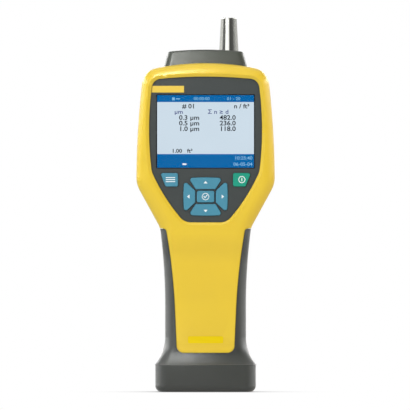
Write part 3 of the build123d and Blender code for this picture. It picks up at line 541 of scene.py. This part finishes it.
# Other rays see a pale floor that passes light on; the camera sees plain white
# that is shaded only close to what stands on it.
diffuse = nt.nodes.new("ShaderNodeBsdfDiffuse")
diffuse.inputs["Color"].default_value = (0.8, 0.8, 0.8, 1)
near = nt.nodes.new("ShaderNodeAmbientOcclusion")
near.samples = 16
near.inputs["Distance"].default_value = 0.06
shadow = nt.nodes.new("ShaderNodeValToRGB")
two_stops(shadow, 0.25, (0.34, 0.34, 0.34, 1), 0.97, (1, 1, 1, 1))
glow = nt.nodes.new("ShaderNodeEmission")
path = nt.nodes.new("ShaderNodeLightPath")
pick = nt.nodes.new("ShaderNodeMixShader")
nt.links.new(near.outputs["AO"], shadow.inputs["Fac"])
nt.links.new(shadow.outputs["Color"], glow.inputs["Color"])
nt.links.new(path.outputs["Is Camera Ray"], pick.inputs["Fac"])
nt.links.new(diffuse.outputs["BSDF"], pick.inputs[1])
nt.links.new(glow.outputs["Emission"], pick.inputs[2])
nt.links.new(pick.outputs["Shader"], out.inputs["Surface"])
mesh.materials.append(mat)

# ---- world: white to the camera, a studio to glossy rays -------------------
world = bpy.data.worlds.new("studio")
world.cycles.sampling_method = "NONE"
bpy.context.scene.world = world
world.use_nodes = True
nt = world.node_tree
nt.nodes.clear()
out = nt.nodes.new("ShaderNodeOutputWorld")
coord = nt.nodes.new("ShaderNodeTexCoord")
split = nt.nodes.new("ShaderNodeSeparateXYZ")
nt.links.new(coord.outputs["Generated"], split.inputs["Vector"])
negate = nt.nodes.new("ShaderNodeMath")
negate.operation = "MULTIPLY"
negate.inputs[1].default_value = -1.0
nt.links.new(split.outputs["Y"], negate.inputs[0])
angle = nt.nodes.new("ShaderNodeMath")
angle.operation = "ARCTAN2"
nt.links.new(split.outputs["X"], angle.inputs[0])
nt.links.new(negate.outputs["Value"], angle.inputs[1])
turn = nt.nodes.new("ShaderNodeMapRange")
turn.inputs["From Min"].default_value = -math.pi
turn.inputs["From Max"].default_value = math.pi
nt.links.new(angle.outputs["Value"], turn.inputs["Value"])


def around(levels):
    """Brightness by compass angle: degrees from the front, left negative."""
    node = nt.nodes.new("ShaderNodeValToRGB")
    while len(node.color_ramp.elements) < len(levels):
        node.color_ramp.elements.new(0.5)
    for element, (degrees, level) in zip(node.color_ramp.elements, levels):
        element.position = 0.5 + degrees / 360
        element.color = (level, level, level, 1)
    nt.links.new(turn.outputs["Result"], node.inputs["Fac"])
    return node


def by_height(low, high, below, above):
    """Cross-fade of two colours as the ray's height goes from low to high."""
    fade = nt.nodes.new("ShaderNodeMapRange")
    fade.inputs["From Min"].default_value = low
    fade.inputs["From Max"].default_value = high
    nt.links.new(split.outputs["Z"], fade.inputs["Value"])
    both = nt.nodes.new("ShaderNodeMix")
    both.data_type = "RGBA"
    nt.links.new(fade.outputs["Result"], both.inputs[0])
    nt.links.new(below.outputs[0 if below.type == "VALTORGB" else 2], both.inputs[6])
    nt.links.new(above.outputs[0 if above.type == "VALTORGB" else 2], both.inputs[7])
    return both


# A strip of windows at eye level shows in the polished tube; the wide lights
# at the sides and above show as the soft shine on rubber and plastic.
strips = around(((-180, 0.8), (-112, 0.95), (-92, 0.80), (-80, 0.10), (-49, 0.08), (-41, 1.8),
                 (-4, 1.8), (9, 0.10), (52, 0.12), (66, 0.26), (84, 0.38), (104, 0.65),
                 (180, 0.7)))
sides = around(((-180, 5.0), (-140, 10.0), (-85, 10.0), (-50, 0.5), (-15, 0.04), (20, 0.03),
                (55, 0.5), (85, 8.0), (140, 8.0), (180, 5.0)))
gloom = around(((-180, 0.5), (-120, 0.05), (0, 0.1), (120, 0.05), (180, 0.5)))
crown = around(((-180, 1.2), (-100, 1.2), (-20, 1.0), (10, 0.9), (40, 0.6), (100, 0.6),
                (180, 1.2)))
low_band = by_height(-0.10, -0.05, sides, strips)
mid_band = by_height(0.13, 0.18, low_band, sides)
high_band = by_height(0.32, 0.42, mid_band, gloom)
studio = by_height(0.60, 0.78, high_band, crown)
path = nt.nodes.new("ShaderNodeLightPath")
even = nt.nodes.new("ShaderNodeBackground")
even.inputs["Color"].default_value = (1, 1, 1, 1)
even.inputs["Strength"].default_value = 0.50
seen = nt.nodes.new("ShaderNodeBackground")
seen.inputs["Color"].default_value = (1, 1, 1, 1)
seen.inputs["Strength"].default_value = 1.0
glossy = nt.nodes.new("ShaderNodeBackground")
nt.links.new(studio.outputs[2], glossy.inputs["Color"])
first = nt.nodes.new("ShaderNodeMixShader")
nt.links.new(path.outputs["Is Glossy Ray"], first.inputs["Fac"])
nt.links.new(even.outputs["Background"], first.inputs[1])
nt.links.new(glossy.outputs["Background"], first.inputs[2])
second = nt.nodes.new("ShaderNodeMixShader")
nt.links.new(path.outputs["Is Camera Ray"], second.inputs["Fac"])
nt.links.new(first.outputs["Shader"], second.inputs[1])
nt.links.new(seen.outputs["Background"], second.inputs[2])
nt.links.new(second.outputs["Shader"], out.inputs["Surface"])


# ---- lamps ----------------------------------------------------------------
def lamp(name, place, aim, size, power, colour=(1, 1, 1), shine=False, spread=180):
    """A rectangular lamp.  With shine it shows in glossy light only, else never there."""
    data = bpy.data.lights.new(name, "AREA")
    data.shape = "RECTANGLE"
    data.size = size[0]
    data.size_y = size[1]
    data.energy = power
    data.color = colour
    data.spread = math.radians(spread)
    obj = bpy.data.objects.new(name, data)
    obj.location = place
    obj.rotation_euler = (Vector(aim) - Vector(place)).to_track_quat("-Z", "Y").to_euler()
    obj.visible_glossy = shine
    obj.visible_diffuse = not shine
    obj.visible_camera = False
    bpy.context.scene.collection.objects.link(obj)
    return obj


lamp("key_lamp", (-0.85, -0.95, 0.60), (0, 0, 0.15), (0.5, 0.9), 7.2)
lamp("top_lamp", (-0.15, -0.45, 1.1), (0, 0, 0.18), (0.6, 0.4), 2.2)
lamp("fill_lamp", (1.2, -0.55, 0.25), (0, 0, 0.13), (0.5, 0.8), 6.0, (1.0, 0.84, 0.66))
# Two small panels close by show only as soft shine, on the cap and over the foot.
lamp("cap_panel", (-0.048, -0.115, 0.30), (-0.015, -0.016, 0.242), (0.05, 0.04), 0.026,
     shine=True, spread=70)
lamp("foot_panel", (-0.034, -0.088, 0.104), (-0.018, -0.023, 0.027), (0.02, 0.02), 0.0034,
     shine=True, spread=31)

# ---- camera ---------------------------------------------------------------
# The picture is 297.5 mm wide at the object's middle plane.
DISTANCE = 12.0
VIEW_W = 0.2975
SENSOR_W = 36.0
cam_data = bpy.data.cameras.new("camera")
cam_data.sensor_width = SENSOR_W
cam_data.lens = SENSOR_W * DISTANCE / VIEW_W
cam_data.clip_start = 1.0
cam_data.clip_end = 60
camera = bpy.data.objects.new("camera", cam_data)
camera.location = (-0.0004, -DISTANCE, 0.1354)
camera.rotation_euler = (math.radians(90), 0, 0)
bpy.context.scene.collection.objects.link(camera)
bpy.context.scene.camera = camera
bpy.context.scene.view_settings.view_transform = "Standard"
